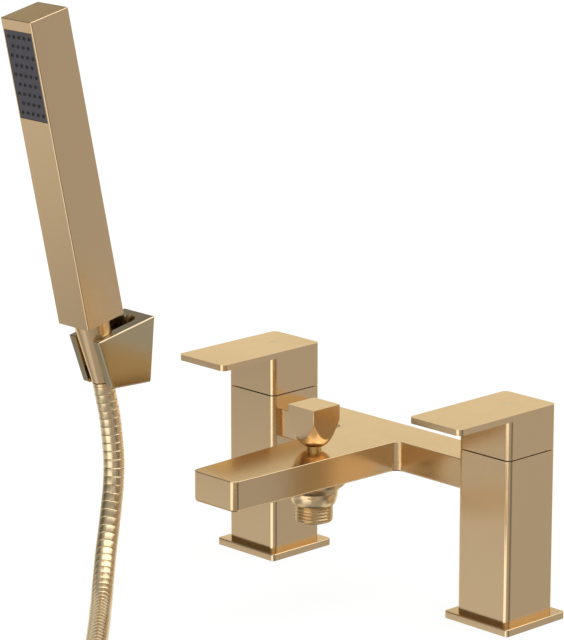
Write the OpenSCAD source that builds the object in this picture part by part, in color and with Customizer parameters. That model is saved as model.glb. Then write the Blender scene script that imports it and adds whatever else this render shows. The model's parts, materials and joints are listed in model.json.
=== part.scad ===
// Bath shower mixer with a bar handset, a wall bracket and a hose.
// X runs along the bridge, -Y is the spout's side and Z is up. The origin is on the deck, midway between the pillars.

/* [Pillars and base plates] */
// Distance between the two pillar axes and their inlets
inlet_spacing = 180; // [150:1:220]
// Side of the square pillars and lever handles
pillar_w = 37; // [35:0.5:44]
// Radius of the pillars' upright edges
pillar_r = 3.1; // [1:0.1:4]
// Height of the deck to the joint line between pillar and lever
joint_z = 95.5; // [92:0.5:110]
// Width by which a base plate stands out round its pillar
base_lip = 4.75; // [3:0.25:10]
// Radius of the base plates' corners
base_r = 2; // [1:0.1:4]
// Thickness of the base plates
base_t = 4; // [3:0.1:8]
// Radius of the threaded inlet in the foot of each pillar
inlet_r = 12.05; // [9:0.05:13]
// Depth of the threaded inlet
inlet_depth = 16; // [10:0.5:25]
// Radius of the water way inside each pillar
riser_r = 6; // [4:0.5:8]

/* [Bridge and spout] */
// Height of the underside of bridge and spout above the deck
slab_z = 71; // [65:0.5:76]
// Thickness of bridge and spout
slab_h = 17; // [16:0.5:19]
// Depth of the bridge, front to back
bridge_d = 27; // [22:0.5:34]
// Reach of the spout in front of the pillar axes
spout_reach = 131.5; // [115:0.5:180]
// Width of the spout at its tip
spout_tip_w = 32.5; // [28:0.5:40]
// Width of the spout where it joins the bridge
spout_root_w = 42; // [34:0.5:60]
// Radius of the spout's upright tip edges
tip_r = 3.8; // [1:0.1:5]
// Radius of the inner corners between spout and bridge
root_r = 4.5; // [2:0.5:10]
// Radius of the water way along the bridge
bridge_bore_r = 4.5; // [3:0.25:5.5]
// Distance of the aerator's axis from the tip
aerator_inset = 15; // [14:0.5:24]
// Radius of the aerator housing
aerator_r = 10.4; // [8:0.1:12]
// Height of the aerator housing
aerator_h = 6; // [4:0.5:8]

/* [Levers and valves] */
// Length of the lever plate, front to back
lever_len = 75.5; // [60:0.5:110]
// Thickness of the lever plate
lever_t = 3.4; // [2.5:0.1:6]
// Height of the block under the lever plate
lever_block_h = 21.3; // [20:0.1:30]
// Wall of the lever's hollow block
lever_wall = 2.6; // [2:0.1:4]
// Radius of the plain index dot on the lever
index_r = 1.8; // [1:0.1:4]
// Radius of the valve bore in the pillar
valve_r = 12; // [11:0.1:13]
// Depth of the valve bore below the joint line
valve_depth = 32.5; // [30:0.5:36]
// Radius of the ceramic discs
disc_r = 8.9; // [8:0.1:9.5]
// Thickness of each ceramic disc
disc_t = 3; // [2:0.25:4]
// Radius of the valve spindle
spindle_r = 4.5; // [4:0.1:5]

/* [Diverter and shower outlet] */
// Distance of the diverter's axis in front of the pillar axes
diverter_y = 56.5; // [45:0.5:75]
// Side of the diverter knob's square top
knob_w = 20; // [19:0.2:26]
// Height of the diverter knob
knob_h = 22.5; // [16:0.1:32]
// Radius of the knob's cone at its lower end
knob_foot_r = 9.4; // [7:0.1:9.4]
// Radius of the knob's flat underside
knob_sole_r = 6; // [5:0.1:7]
// Height of the knob's foot, from its underside to the cone
knob_foot_h = 3.6; // [1:0.1:8]
// Taper of the knob's cone, radius per unit of height
knob_taper = 0.42; // [0.2:0.01:0.6]
// Height of the knob's underside above the spout
knob_lift = 2.5; // [1:0.1:10]
// Radius of the diverter spindle
stem_r = 4.1; // [3:0.05:4.4]
// Radius of the shower outlet's collar
collar_r = 13.2; // [12:0.1:15]
// Height of the shower outlet's collar
collar_h = 7.6; // [5:0.1:9]
// Radius of the shower outlet's thread
outlet_thread_r = 10.48; // [9.5:0.02:11.5]
// Length of the shower outlet's thread
outlet_thread_h = 9.4; // [8:0.1:14]
// Pitch of the shower outlet's thread
outlet_pitch = 1.814; // [1:0.001:2.5]
// Radius of the bore through the shower outlet
outlet_bore_r = 6.5; // [5:0.1:7.5]

/* [Wall bracket] */
// Place of the middle of the bracket's wall face
bracket_at = [-111.7, -84.4, 130.4];
// Lean of the bracket's wall face from upright
bracket_lean = 5; // [0:0.5:8]
// Width of the bracket
bracket_w = 25.6; // [24:0.2:34]
// Height of the bracket's wall face
bracket_h = 37.6; // [36:0.2:46]
// Length of the bracket's sloping top, measured level
bracket_top_l = 40.6; // [39:0.2:46]
// Slope of the bracket's top
bracket_slope = 16; // [10:0.5:18]
// Length of the bracket's underside
bracket_foot_l = 28.1; // [27:0.1:34]
// Drop of the underside's front edge
bracket_foot_drop = 1.4; // [0:0.1:3]
// Distance of the socket's axis from the wall face, at the top
socket_y = 33; // [32:0.1:34]
// Tilt of the handset away from the wall
handset_tilt = 17; // [14:0.5:18]
// Width of the bracket's front slot
slot_w = 15.5; // [13:0.1:17]
// Width of the opening behind the socket, at the bracket's top
rear_slot_w = 12.4; // [10:0.2:16]
// Depth of that opening below the wall face's middle
rear_slot_depth = 4; // [-4:0.5:8]
// Wall plate's width, height and thickness
plate_size = [18.6, 29.6, 3.8];
// Radius of the wall plate's screw holes
plate_hole_r = 2.25; // [1.5:0.05:3]
// Distance between the wall plate's screw holes
plate_hole_gap = 18; // [12:0.5:22]

/* [Handset] */
// Width of the handset bar
bar_w = 25; // [23:0.2:34]
// Depth of the handset bar
bar_d = 26.8; // [24:0.2:36]
// Length of the handset bar
bar_l = 178; // [140:1:240]
// Radius of the bar's long edges
bar_r = 0.8; // [0.6:0.1:3]
// Wall of the hollow bar
bar_wall = 1.8; // [1.5:0.1:2.2]
// Width of the spray plate
spray_w = 22.2; // [18:0.2:22.4]
// Length of the spray plate
spray_l = 50.4; // [49:0.2:70]
// Distance of the spray plate from the bar's end
spray_inset = 6.4; // [5:0.1:20]
// Thickness of the spray plate
spray_t = 1; // [0.8:0.1:1.2]
// Rows of nozzles
nozzle_rows = 9; // [5:1:9]
// Distance between the rows of nozzles
nozzle_pitch = 5.4; // [3:0.1:5.4]
// Distance between the nozzles of a row
nozzle_step = 4.2; // [3:0.1:4.4]
// Radius of a nozzle
nozzle_r = 0.75; // [0.5:0.05:1]

/* [Hose] */
// Diameter of the hose
hose_d = 12; // [11:0.5:12]
// Radius of the hose's bore
hose_bore_r = 4.4; // [3.5:0.1:4.6]
// Radius of the bore through the hose's ferrules
ferrule_bore_r = 3.4; // [2.5:0.1:3.8]
// Distance between the hose's ribs
rib_pitch = 5; // [4:0.5:8]
// Depth of the groove between two ribs
rib_depth = 0.5; // [0.3:0.1:0.8]
// Length of the cone nut
cone_l = 37; // [36.8:0.1:46]
// Radius of the cone nut's top
cone_top_r = 10.5; // [10.3:0.05:10.8]
// Taper of the cone nut, radius per unit of length
cone_taper = 0.12; // [0.1:0.005:0.12]
// Radius of the cone nut's narrow end
cone_end_r = 6.1; // [5.8:0.05:6.4]
// Radius of the thread between cone nut and handset
nut_thread_r = 8.33; // [8:0.01:8.4]
// Place of the coil's middle on the deck
coil_at = [125, -235];
// Radius of the coil's outermost turn
coil_r = 73; // [66:1:80]
// Direction from the coil's middle to its first point
coil_start = 226; // [200:1:250]
// Width across the flats of the end nut
end_nut_flats = 24; // [23:0.5:28]
// Length of the end nut
end_nut_l = 15; // [14:0.5:20]
// Radius of the end nut's thread
end_thread_r = 10.5; // [10:0.02:10.6]

/* [Clearances] */
// Gap between faces that move past each other
run_gap = 0.3; // [0.2:0.05:0.5]
// Radial clearance of a turning or sliding fit
fit_gap = 0.05; // [0.02:0.01:0.1]
// Height of the joint line between pillar and lever
joint_gap = 0.5; // [0.3:0.05:1]

/* [Hidden] */
$fn = 64;
SIDES = ["left", "right"];

BRASS = [0.80, 0.66, 0.42];
DEEP_BRASS = [0.72, 0.56, 0.32];
RUBBER = [0.12, 0.12, 0.12];
CERAMIC = [0.93, 0.92, 0.88];
STEEL = [0.66, 0.67, 0.69];
GREY = [0.28, 0.27, 0.30];
EPS = 0.01;

// heights in the pillars
pillar_h = joint_z - base_t;
lever_z = joint_z + joint_gap;
plate_z = lever_z + lever_block_h;
lever_top_z = plate_z + lever_t;
chamber_z = joint_z - valve_depth;
inlet_top_z = base_t + inlet_depth;
seal_h = 3;
fixed_z = chamber_z + seal_h;
moving_z = fixed_z + disc_t + fit_gap;
flange_z = moving_z + disc_t;
flange_t = 2.8;
cavity_top_z = flange_z + flange_t + fit_gap;
head_t = 1.5;
hex_h = 4.5;
hex_top_z = joint_z + head_t + hex_h;
hub_z = hex_top_z + 1;
hub_top_z = plate_z - 5;
hub_r = 8;
grip_r = 4;
screw_z = hub_z + 4;
screw_r = 2.5;
gasket_t = 1.2;
gasket_r = 19.5;
base_hole_r = 14;
base_w = pillar_w + 2 * base_lip;
bridge_half = (inlet_spacing - pillar_w) / 2;
base_fit = 0.2;
groove_r = valve_r - 1.6;
oring_r = 0.9;

// bridge, spout and diverter
slab_top_z = slab_z + slab_h;
bore_z = slab_z + slab_h / 2;
spout_slope = (spout_root_w - spout_tip_w) / 2 / (spout_reach - bridge_d / 2);
spout_turn = atan(spout_slope);
feed_r = 2.7;
feed_z = slab_z + feed_r + 1.5;
boss_h = 6.3;
boss_z = slab_z - boss_h;
boss_flare = 4.1;
boss_pad = 2.1;
chamber_r = 9.6;
seat_z = feed_z + feed_r + 0.1;
upper_r = 6.5;
roof_z = slab_top_z - 3.5;
spout_bore_r = (roof_z - seat_z) / 2 - 0.4;
spout_bore_z = (roof_z + seat_z) / 2;
outlet_seat_z = slab_z - 2;
spigot_h = outlet_seat_z - boss_z;
valve_t = 1.8;
washer_t = 1.2;
valve_disc_r = 8.8;
knob_z = slab_top_z + knob_lift;
knob_sink = 12;
aerator_y = spout_reach - aerator_inset;
aerator_hole_h = aerator_h + 1;
thread_depth = 0.75;
stem_oring_z = (slab_top_z + roof_z) / 2;

// bracket and handset, on the axis of the socket
socket_z = bracket_h / 2 - socket_y * tan(bracket_slope);
seat_gap = 9;
bar_cut = 1;
cone_end_z = seat_gap - cone_l;
ferrule_ring = 1.6;
exit_z = cone_end_z - run_gap - ferrule_ring;
stub_h = 8;
washer_h = 1.8;
head_r = 7.4;
neck_r = 4.6;
liner_r = 8.8;
rear_wall = 5.6;
liner_z = -27;
liner_h = 6;
pocket_fit = 0.2;
bracket_screw_r = 1.25;
nozzle_mat_t = 1.2;
duct_w = 20;
duct_d = 16;
tube_r = 6.5;
tube_bore_r = 5;
spray_z = bar_l - spray_inset - spray_l;

// hose
hose_r = hose_d / 2;
lay_z = hose_r + 0.1;
turn_step = hose_d + 0.5;
turn_out = hose_d + 1.5;
coil_turns = 3;
turn_back = 1.75;
climb_from = 1.5;
climb_to = 2;
rise_from = 2.7;
end_len = 12;
end_ferrule_r = 6.3;
end_neck = 1.2;
end_head_r = 8.4;
end_head_t = 2;
end_wall = 3.2;
end_washer_t = 2;
end_relief_h = end_head_t + end_washer_t + 0.2;
end_relief_r = end_thread_r + 0.5;
nut_axis_z = 2 * hose_r + 0.1 + end_nut_flats / sqrt(3) + run_gap;
// route of the hose from the ferrule down to the deck and on to the coil
route = [[-111.7, -108.1, 103.4], [-111.7, -105.9, 93.4], [-111.2, -104.7, 80.4], [-109.6, -105.1, 67.4], [-107.4, -107.7, 54.5], [-103.9, -112.6, 42.6],
         [-99, -118.9, 32.2], [-92.9, -126.3, 23.2], [-85.4, -134.3, 15.9], [-77, -142.8, 10.6], [-68, -151.4, 7.2],
         [-58.4, -160.6, 6.1], [-44, -174, 6.1], [-29.5, -187.8, 6.1], [-15, -201.7, 6.1], [-0.6, -215.5, 6.1],
         [13.8, -229.4, 6.1], [28.2, -243.3, 6.1], [42.6, -257.2, 6.1]];

function side_x(side) = side == "left" ? -inlet_spacing / 2 : inlet_spacing / 2;
function spout_x(y) = spout_tip_w / 2 + (spout_reach - y) * spout_slope;
function cone_r(z) = max(cone_top_r - cone_taper * (seat_gap - z), cone_end_r);
function unit(v) = v / norm(v);

module rounded_block(w, d, r, h) {
    linear_extrude(h) {
        square([w - 2 * r, d], center = true);
        square([w, d - 2 * r], center = true);
        for (x = [-1, 1], y = [-1, 1]) translate([x * (w / 2 - r), y * (d / 2 - r)]) circle(r);
    }
}

module ring(r, bore, h) {
    difference() {
        cylinder(r = r, h = h);
        translate([0, 0, -1]) cylinder(r = bore, h = h + 2);
    }
}

module lengthwise(y0, y1, r) {
    translate([0, -y0, 0]) rotate([90, 0, 0]) cylinder(r = r, h = y1 - y0);
}

// Spout, bridge and pillars
function arc(c, r, from, to) = [for (i = [0:8]) let (a = from + (to - from) * i / 8) c + r * [cos(a), sin(a)]];
function spout_half() =
    let (root_y = -bridge_d / 2 - root_r, tip_x = spout_tip_w / 2 + tip_r * spout_slope - tip_r / cos(spout_turn))
    concat(arc([spout_x(-root_y) + root_r / cos(spout_turn), root_y], root_r, 90, 180 - spout_turn),
           arc([tip_x, -spout_reach + tip_r], tip_r, -spout_turn, -90));

module spout_plan() {
    half = spout_half();
    polygon(concat(half, [for (i = [len(half) - 1:-1:0]) [-half[i][0], half[i][1]]]));
}

module outlet_boss() {
    flare = [for (a = [0:15:90]) [collar_r + boss_flare * (1 - cos(a)), slab_z - boss_pad - boss_flare * (1 - sin(a))]];
    translate([0, -diverter_y, 0]) rotate_extrude()
        polygon(concat([[0, slab_z + 1], [0, boss_z], [collar_r, boss_z]], flare, [[collar_r + boss_flare, slab_z + 1]]));
}

module pillar_bores() {
    translate([0, 0, base_t - 1]) cylinder(r = inlet_r, h = inlet_depth + 1);
    translate([0, 0, inlet_top_z - 1]) cylinder(r = riser_r, h = chamber_z - inlet_top_z + 2);
    translate([0, 0, chamber_z]) cylinder(r = valve_r, h = valve_depth + 1);
}

module diverter_bores() {
    translate([0, -diverter_y, 0]) {
        translate([0, 0, boss_z - 1]) cylinder(r = chamber_r, h = seat_z - boss_z + 1);
        translate([0, 0, seat_z - 1]) cylinder(r = upper_r, h = roof_z - seat_z + 1);
        translate([0, 0, roof_z - 1]) cylinder(r = stem_r + fit_gap, h = slab_top_z - roof_z + 2);
        translate([0, 0, stem_oring_z - oring_r]) cylinder(r = stem_r + 2 * oring_r - 0.3, h = 2 * oring_r);
    }
}

module bridge_bore() {
    translate([-inlet_spacing / 2, 0, bore_z]) rotate([0, 90, 0]) cylinder(r = bridge_bore_r, h = inlet_spacing);
}

module feed_bore() {
    translate([0, 0, feed_z]) lengthwise(0, diverter_y, feed_r);
}

module pillar(side) {
    color(BRASS) difference() {
        translate([side_x(side), 0, base_t]) rounded_block(pillar_w, pillar_w, pillar_r, pillar_h);
        translate([side_x(side), 0, 0]) pillar_bores();
        bridge_bore();
    }
}

module bridge() {
    color(BRASS) difference() {
        translate([-bridge_half, -bridge_d / 2, slab_z]) cube([2 * bridge_half, bridge_d, slab_h]);
        bridge_bore();
        feed_bore();
    }
}

module spout() {
    color(BRASS) difference() {
        union() {
            translate([0, 0, slab_z]) linear_extrude(slab_h) spout_plan();
            outlet_boss();
        }
        feed_bore();
        translate([0, 0, spout_bore_z]) lengthwise(diverter_y, aerator_y, spout_bore_r);
        diverter_bores();
        translate([0, -aerator_y, slab_z - 1]) cylinder(r = aerator_r, h = aerator_hole_h + 1);
        translate([0, -aerator_y, slab_z]) cylinder(r = spout_bore_r + 1, h = spout_bore_z - slab_z);
    }
}

module base_plate(side) {
    color(BRASS) translate([side_x(side), 0, 0]) difference() {
        rounded_block(base_w, base_w, base_r, base_t);
        translate([0, 0, -1]) cylinder(r = base_hole_r, h = base_t + 2);
        translate([0, 0, -1]) cylinder(r = gasket_r + base_fit, h = gasket_t + 1);
    }
}

module base_gasket(side) {
    color(RUBBER) translate([side_x(side), 0, 0]) ring(gasket_r, base_hole_r, gasket_t);
}

// Lever and valve of one side, on the pillar's axis
module lever_handle(side) {
    inside = pillar_w - 2 * lever_wall;
    color(BRASS) translate([side_x(side), 0, 0]) difference() {
        union() {
            translate([0, 0, lever_z]) difference() {
                rounded_block(pillar_w, pillar_w, pillar_r, lever_block_h);
                translate([-inside / 2, -inside / 2, -1]) cube([inside, inside, hub_top_z - lever_z + 1]);
            }
            translate([0, 0, hub_z]) cylinder(r = hub_r, h = hub_top_z - hub_z + 1);
            translate([0, (pillar_w - lever_len) / 2, plate_z]) rounded_block(pillar_w, lever_len, pillar_r, lever_t);
        }
        translate([0, 0, hub_z - 1]) cylinder(r = grip_r + fit_gap, h = hub_top_z - hub_z + 1);
        translate([0, pillar_w / 2 + 1, screw_z]) rotate([90, 0, 0]) cylinder(r = screw_r, h = pillar_w / 2 + 1 - grip_r);
        translate([0, 0, lever_top_z - 1]) cylinder(r = index_r + fit_gap, h = 2);
    }
}

module lever_index(side) {
    color(DEEP_BRASS) translate([side_x(side), 0, lever_top_z - 1]) cylinder(r = index_r, h = 1);
}

module lever_screw(side) {
    color(STEEL) translate([side_x(side), 0, screw_z]) rotate([-90, 0, 0]) translate([0, 0, grip_r]) difference() {
        cylinder(r = screw_r - fit_gap, h = 4);
        translate([0, 0, 1.5]) cylinder(r = 1.4, h = 3, $fn = 6);
    }
}

module cartridge_body(side) {
    color(BRASS) translate([side_x(side), 0, 0]) difference() {
        union() {
            translate([0, 0, fixed_z]) cylinder(r = valve_r - fit_gap, h = 2);
            translate([0, 0, fixed_z]) cylinder(r = groove_r, h = joint_z - fixed_z);
            translate([0, 0, joint_z - 8]) cylinder(r = valve_r - fit_gap, h = 8);
            translate([0, 0, joint_z]) cylinder(r = valve_r + 1.5, h = head_t);
            translate([0, 0, joint_z + head_t]) cylinder(r = valve_r - 1, h = hex_h, $fn = 6);
        }
        translate([0, 0, fixed_z - 1]) cylinder(r = disc_r + fit_gap, h = cavity_top_z - fixed_z + 1);
        translate([0, 0, fixed_z]) cylinder(r = spindle_r + fit_gap, h = hex_top_z - fixed_z + 1);
        for (a = [0, 90]) translate([0, 0, moving_z + disc_t / 2]) rotate([90, 0, a])
            cylinder(r = disc_t / 2, h = 4 * valve_r, center = true);
    }
}

module cartridge_spindle(side) {
    color(STEEL) translate([side_x(side), 0, 0]) difference() {
        union() {
            translate([0, 0, flange_z]) cylinder(r = disc_r - fit_gap, h = flange_t);
            translate([0, 0, flange_z]) cylinder(r = spindle_r, h = hub_z - 0.5 - flange_z);
            translate([0, 0, flange_z]) cylinder(r = grip_r, h = hub_top_z - 1 - flange_z);
        }
        translate([0, 0, joint_z - 3]) ring(spindle_r + 1, spindle_r - oring_r, 2 * oring_r);
    }
}

module spindle_oring(side) {
    color(RUBBER) translate([side_x(side), 0, joint_z - 3 + oring_r]) rotate_extrude()
        translate([spindle_r - oring_r / 2 + fit_gap / 2, 0]) circle(oring_r / 2, $fn = 32);
}

module fixed_disc(side) {
    color(CERAMIC) translate([side_x(side), 0, fixed_z]) difference() {
        cylinder(r = disc_r, h = disc_t);
        for (s = [-1, 1]) translate([s * disc_r / 2, 0, -1]) cylinder(r = disc_t * 0.8, h = disc_t + 2);
    }
}

module moving_disc(side) {
    color(CERAMIC) translate([side_x(side), 0, moving_z]) difference() {
        cylinder(r = disc_r - fit_gap, h = disc_t);
        for (s = [-1, 1]) translate([0, s * disc_r / 2, -1]) cylinder(r = disc_t * 0.8, h = disc_t + 2);
    }
}

module cartridge_seal(side) {
    color(RUBBER) translate([side_x(side), 0, chamber_z]) ring(valve_r - 0.5, riser_r + 1.5, seal_h);
}

// Diverter, on its own axis
module on_diverter(z) {
    translate([0, -diverter_y, z]) children();
}

module diverter_knob() {
    top_h = knob_h - knob_foot_h;
    color(BRASS) on_diverter(knob_z) difference() {
        union() {
            translate([0, 0, knob_foot_h]) intersection() {
                rounded_block(knob_w, knob_w, 0.6, top_h);
                cylinder(r1 = knob_foot_r, r2 = knob_foot_r + knob_taper * top_h, h = top_h);
            }
            cylinder(r1 = knob_sole_r, r2 = knob_foot_r, h = knob_foot_h);
        }
        translate([0, 0, -1]) cylinder(r = stem_r, h = knob_sink + 1);
    }
}

module diverter_spindle() {
    bottom = outlet_seat_z + run_gap;
    color(BRASS) on_diverter(bottom) difference() {
        cylinder(r = stem_r, h = knob_z + knob_sink - bottom);
        translate([0, 0, -1]) ring(stem_r + 1, stem_r - 1.2, valve_t + washer_t + 1);
    }
}

module diverter_seal() {
    color(RUBBER) on_diverter(outlet_seat_z + run_gap) ring(valve_disc_r, stem_r - 1.2, washer_t);
}

module diverter_valve() {
    color(BRASS) on_diverter(outlet_seat_z + run_gap + washer_t) ring(valve_disc_r, stem_r - 1.2, valve_t);
}

module diverter_oring() {
    color(RUBBER) on_diverter(stem_oring_z) rotate_extrude() translate([stem_r + fit_gap + oring_r * 0.8, 0])
        circle(oring_r * 0.8, $fn = 32);
}

module diverter_spring() {
    from = outlet_seat_z + run_gap + washer_t + valve_t;
    color(STEEL) on_diverter(from) ring(stem_r + 1.6, stem_r + 0.4, roof_z - from);
}

module shower_outlet() {
    bottom = boss_z - collar_h - outlet_thread_h;
    color(BRASS) on_diverter(bottom) difference() {
        union() {
            cylinder(r1 = outlet_thread_r - 0.6, r2 = outlet_thread_r, h = 0.6);
            translate([0, 0, 0.6]) cylinder(r = outlet_thread_r, h = outlet_thread_h);
            translate([0, 0, outlet_thread_h]) cylinder(r1 = collar_r - 1.6, r2 = collar_r, h = 2.4);
            translate([0, 0, outlet_thread_h + 2.4]) cylinder(r = collar_r, h = collar_h - 2.4);
            translate([0, 0, outlet_thread_h]) cylinder(r = chamber_r - fit_gap, h = collar_h + spigot_h);
        }
        translate([0, 0, -1]) cylinder(r = outlet_bore_r, h = outlet_thread_h + collar_h + spigot_h + 2);
        for (z = [1.2:outlet_pitch:outlet_thread_h - 0.6]) translate([0, 0, z]) thread_groove();
    }
}

module thread_groove() {
    rotate_extrude() polygon([[outlet_thread_r - thread_depth, -0.15], [outlet_thread_r - thread_depth, 0.15],
                              [outlet_thread_r + 0.1, 0.55], [outlet_thread_r + 0.1, -0.55]]);
}

module aerator_housing() {
    color(BRASS) translate([0, -aerator_y, slab_z]) difference() {
        ring(aerator_r, aerator_r - 1.8, aerator_h);
        for (s = [-1, 1]) translate([s * aerator_r, 0, 0]) cube([2.2, 3, 2], center = true);
    }
}

module aerator_insert() {
    r = aerator_r - 1.8;
    color(RUBBER) translate([0, -aerator_y, slab_z + 1]) difference() {
        cylinder(r = r, h = aerator_h - 1);
        translate([0, 0, 1.2]) cylinder(r = r - 1, h = aerator_h);
        for (i = [0:2], k = [0:max(6 * i - 1, 0)]) rotate([0, 0, i == 0 ? 0 : k * 60 / i]) translate([i * r / 3, 0, -1])
            cylinder(r = 0.7, h = 3, $fn = 24);
    }
}

// Bracket frame: the wall face is the plane y = 0
module on_bracket() {
    translate(bracket_at) rotate([-bracket_lean, 0, 0]) children();
}

// Socket frame: z runs up the handset's axis from the bracket's top
module on_socket() {
    on_bracket() translate([0, -socket_y, socket_z]) rotate([handset_tilt, 0, 0]) children();
}

module bracket_body() {
    drop = bracket_top_l * tan(bracket_slope);
    color(BRASS) on_bracket() difference() {
        translate([-bracket_w / 2, 0, 0]) rotate([90, 0, 90]) linear_extrude(bracket_w)
            polygon([[0, bracket_h / 2], [0, -bracket_h / 2], [-bracket_foot_l, -bracket_h / 2 - bracket_foot_drop],
                     [-bracket_top_l, bracket_h / 2 - drop]]);
        translate([0, -socket_y, socket_z]) rotate([handset_tilt, 0, 0]) socket_cut();
        translate([0, -rear_wall - rear_slot_w / 2, -rear_slot_depth]) linear_extrude(bracket_h) {
            circle(rear_slot_w / 2);
            translate([-rear_slot_w / 2, -socket_y + rear_wall + rear_slot_w / 2]) square([rear_slot_w, socket_y - rear_wall - rear_slot_w / 2]);
        }
        translate([-plate_size[0] / 2 - pocket_fit, -plate_size[2] - pocket_fit, -plate_size[1] / 2 - pocket_fit])
            cube([plate_size[0] + 2 * pocket_fit, plate_size[2] + pocket_fit + 1, plate_size[1] + 2 * pocket_fit]);
        translate([0, -plate_size[2] / 2, -bracket_h / 2 - 2]) cylinder(r = bracket_screw_r, h = bracket_h / 2);
    }
}

module socket_cut() {
    narrow_z = seat_gap - (cone_top_r - cone_end_r) / cone_taper;
    translate([0, 0, narrow_z]) cylinder(r1 = cone_end_r + run_gap, r2 = cone_r(20) + run_gap, h = 20 - narrow_z);
    translate([0, 0, -60]) cylinder(r = cone_end_r + run_gap, h = 80);
    translate([0, 0, liner_z]) cylinder(r = liner_r, h = liner_h);
    translate([-slot_w / 2, -40, -60]) cube([slot_w, 40, 90]);
}

module bracket_liner() {
    color(RUBBER) on_socket() translate([0, 0, liner_z]) difference() {
        cylinder(r = liner_r, h = liner_h);
        translate([0, 0, -liner_z + seat_gap - (cone_top_r - cone_end_r) / cone_taper])
            cylinder(r1 = cone_end_r + run_gap, r2 = cone_r(20) + run_gap, h = 20 - seat_gap + (cone_top_r - cone_end_r) / cone_taper);
        translate([0, 0, -1]) cylinder(r = cone_end_r + run_gap, h = liner_h);
        translate([-slot_w / 2, -liner_r - 1, -1]) cube([slot_w, liner_r + 1, liner_h + 2]);
    }
}

module bracket_wall_plate() {
    color(STEEL) on_bracket() difference() {
        translate([-plate_size[0] / 2, -plate_size[2], -plate_size[1] / 2])
            cube([plate_size[0], plate_size[2], plate_size[1]]);
        for (s = [-1, 1]) translate([0, 1, s * plate_hole_gap / 2]) rotate([90, 0, 0])
            cylinder(r = plate_hole_r, h = plate_size[2] + 2);
    }
}

module bracket_screw() {
    length = bracket_h / 2 - plate_size[1] / 2;
    color(STEEL) on_bracket() translate([0, -plate_size[2] / 2, -bracket_h / 2]) difference() {
        cylinder(r = bracket_screw_r - fit_gap, h = length);
        translate([0, 0, -1]) cylinder(r = 0.7, h = 2.2, $fn = 6);
    }
}

// Handset frame: z = 0 is the lower end of the bar
module on_handset() {
    on_socket() translate([0, 0, seat_gap]) children();
}

module handset_body() {
    front = bar_d / 2;
    color(BRASS) on_handset() difference() {
        rounded_block(bar_w, bar_d, bar_r, bar_l);
        translate([-bar_w / 2 + bar_wall, -bar_d / 2 + bar_wall, 2.5])
            cube([bar_w - 2 * bar_wall, bar_d - 2 * bar_wall, bar_l - 5]);
        translate([-spray_w / 2 - 0.1, -front - 1, spray_z - 0.1]) cube([spray_w + 0.2, 1 + spray_t + 0.1, spray_l + 0.2]);
        translate([-spray_w / 2 + 1.4, -front - 1, spray_z + 1.4]) cube([spray_w - 2.8, 4, spray_l - 2.8]);
        translate([0, 0, -1]) cylinder(r = tube_bore_r + 1, h = 5);
    }
}

module nozzle_places() {
    for (row = [0:nozzle_rows - 1]) {
        count = row % 2 == 0 ? 5 : 4;
        z = spray_z + spray_l / 2 + ((nozzle_rows - 1) / 2 - row) * nozzle_pitch;
        for (k = [0:count - 1]) translate([(k - (count - 1) / 2) * nozzle_step, 0, z]) rotate([-90, 0, 0]) children();
    }
}

module spray_plate() {
    color(GREY) on_handset() translate([0, -bar_d / 2 + 0.1, 0]) difference() {
        translate([-spray_w / 2, 0, spray_z]) cube([spray_w, spray_t, spray_l]);
        nozzle_places() translate([0, 0, -1]) cylinder(r = nozzle_r + 0.15, h = spray_t + 2, $fn = 24);
    }
}

module spray_nozzles() {
    back = bar_wall - 0.1;
    color(RUBBER) on_handset() translate([0, -bar_d / 2 + 0.1, 0]) {
        translate([-spray_w / 2 + 1.6, spray_t, spray_z + 1.6])
            cube([spray_w - 3.2, back + nozzle_mat_t - spray_t, spray_l - 3.2]);
        nozzle_places() translate([0, 0, -0.6]) cylinder(r = nozzle_r, h = spray_t + 0.7, $fn = 24);
    }
}

module handset_waterway() {
    front = -bar_d / 2 + bar_wall + nozzle_mat_t;
    color(GREY) on_handset() difference() {
        union() {
            translate([-duct_w / 2, front, spray_z]) cube([duct_w, duct_d, spray_l]);
            translate([0, 0, 2.5]) cylinder(r = tube_r, h = spray_z);
        }
        translate([-duct_w / 2 + 1.5, front - 1, spray_z + 1.5]) cube([duct_w - 3, duct_d - 0.5, spray_l - 3]);
        translate([0, 0, 1]) cylinder(r = tube_bore_r, h = spray_z + 3);
    }
}

module handset_connector() {
    color(BRASS) on_handset() difference() {
        union() {
            translate([0, 0, -stub_h]) cylinder(r = nut_thread_r, h = stub_h);
            cylinder(r = tube_bore_r + 1, h = 2.5);
        }
        translate([0, 0, -stub_h - 1]) cylinder(r = tube_bore_r - 0.5, h = stub_h + 5);
    }
}

module handset_washer() {
    color(RUBBER) on_handset() translate([0, 0, -stub_h - washer_h]) ring(nut_thread_r - 0.3, tube_bore_r - 1, washer_h);
}

// Hose and its fittings
module hose_cone_nut() {
    shoulder = stub_h + washer_h + 2 + 3 * fit_gap;
    narrow = (cone_top_r - cone_end_r) / cone_taper;
    color(BRASS) on_handset() difference() {
        union() {
            translate([0, 0, -narrow]) cylinder(r1 = cone_end_r, r2 = cone_top_r, h = narrow);
            translate([0, 0, -cone_l]) cylinder(r = cone_end_r, h = cone_l - narrow + 1);
        }
        translate([0, 0, -shoulder]) cylinder(r = nut_thread_r + fit_gap, h = shoulder + 1);
        translate([0, 0, -cone_l - 1]) cylinder(r = neck_r + fit_gap, h = cone_l);
    }
}

module hose_ferrule() {
    head_z = seat_gap - stub_h - washer_h - fit_gap - 2;
    color(DEEP_BRASS) on_socket() difference() {
        union() {
            translate([0, 0, head_z]) cylinder(r = head_r, h = 2);
            translate([0, 0, exit_z]) cylinder(r = neck_r, h = head_z - exit_z + 1);
            translate([0, 0, exit_z]) cylinder(r = hose_r, h = ferrule_ring);
        }
        translate([0, 0, exit_z - 1]) cylinder(r = ferrule_bore_r, h = head_z - exit_z + 4);
    }
}

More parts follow.
